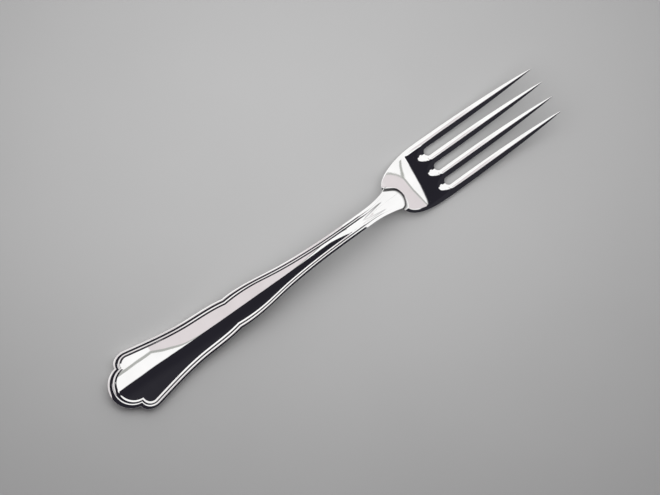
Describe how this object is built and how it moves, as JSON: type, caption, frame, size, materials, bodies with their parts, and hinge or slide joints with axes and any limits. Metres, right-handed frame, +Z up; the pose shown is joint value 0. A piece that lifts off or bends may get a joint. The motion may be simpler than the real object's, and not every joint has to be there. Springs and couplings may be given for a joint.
{
  "type": "dessert fork",
  "caption": "Polished silver dessert fork: lobed and stepped handle with a centre ridge and a double-thread border, slim arched neck, shouldered head and tapering tines.",
  "frame": {"origin": "on the table, under the middle of the fork's box, with the fork lying on its back", "axes": "+X along the fork from the handle to the tines, +Y across to the fork's left, +Z up"},
  "size_m": [0.18, 0.0222, 0.0127],
  "materials": {
    "silver": "mirror-polished silver with fine wiping marks"
  },
  "bodies": {
    "root": {"handle_blade": "silver", "handle_stem": "silver", "neck": "silver", "head": "silver", "tine_1": "silver", "tine_2": "silver", "tine_3": "silver", "tine_4": "silver"}
  },
  "joints": []
}
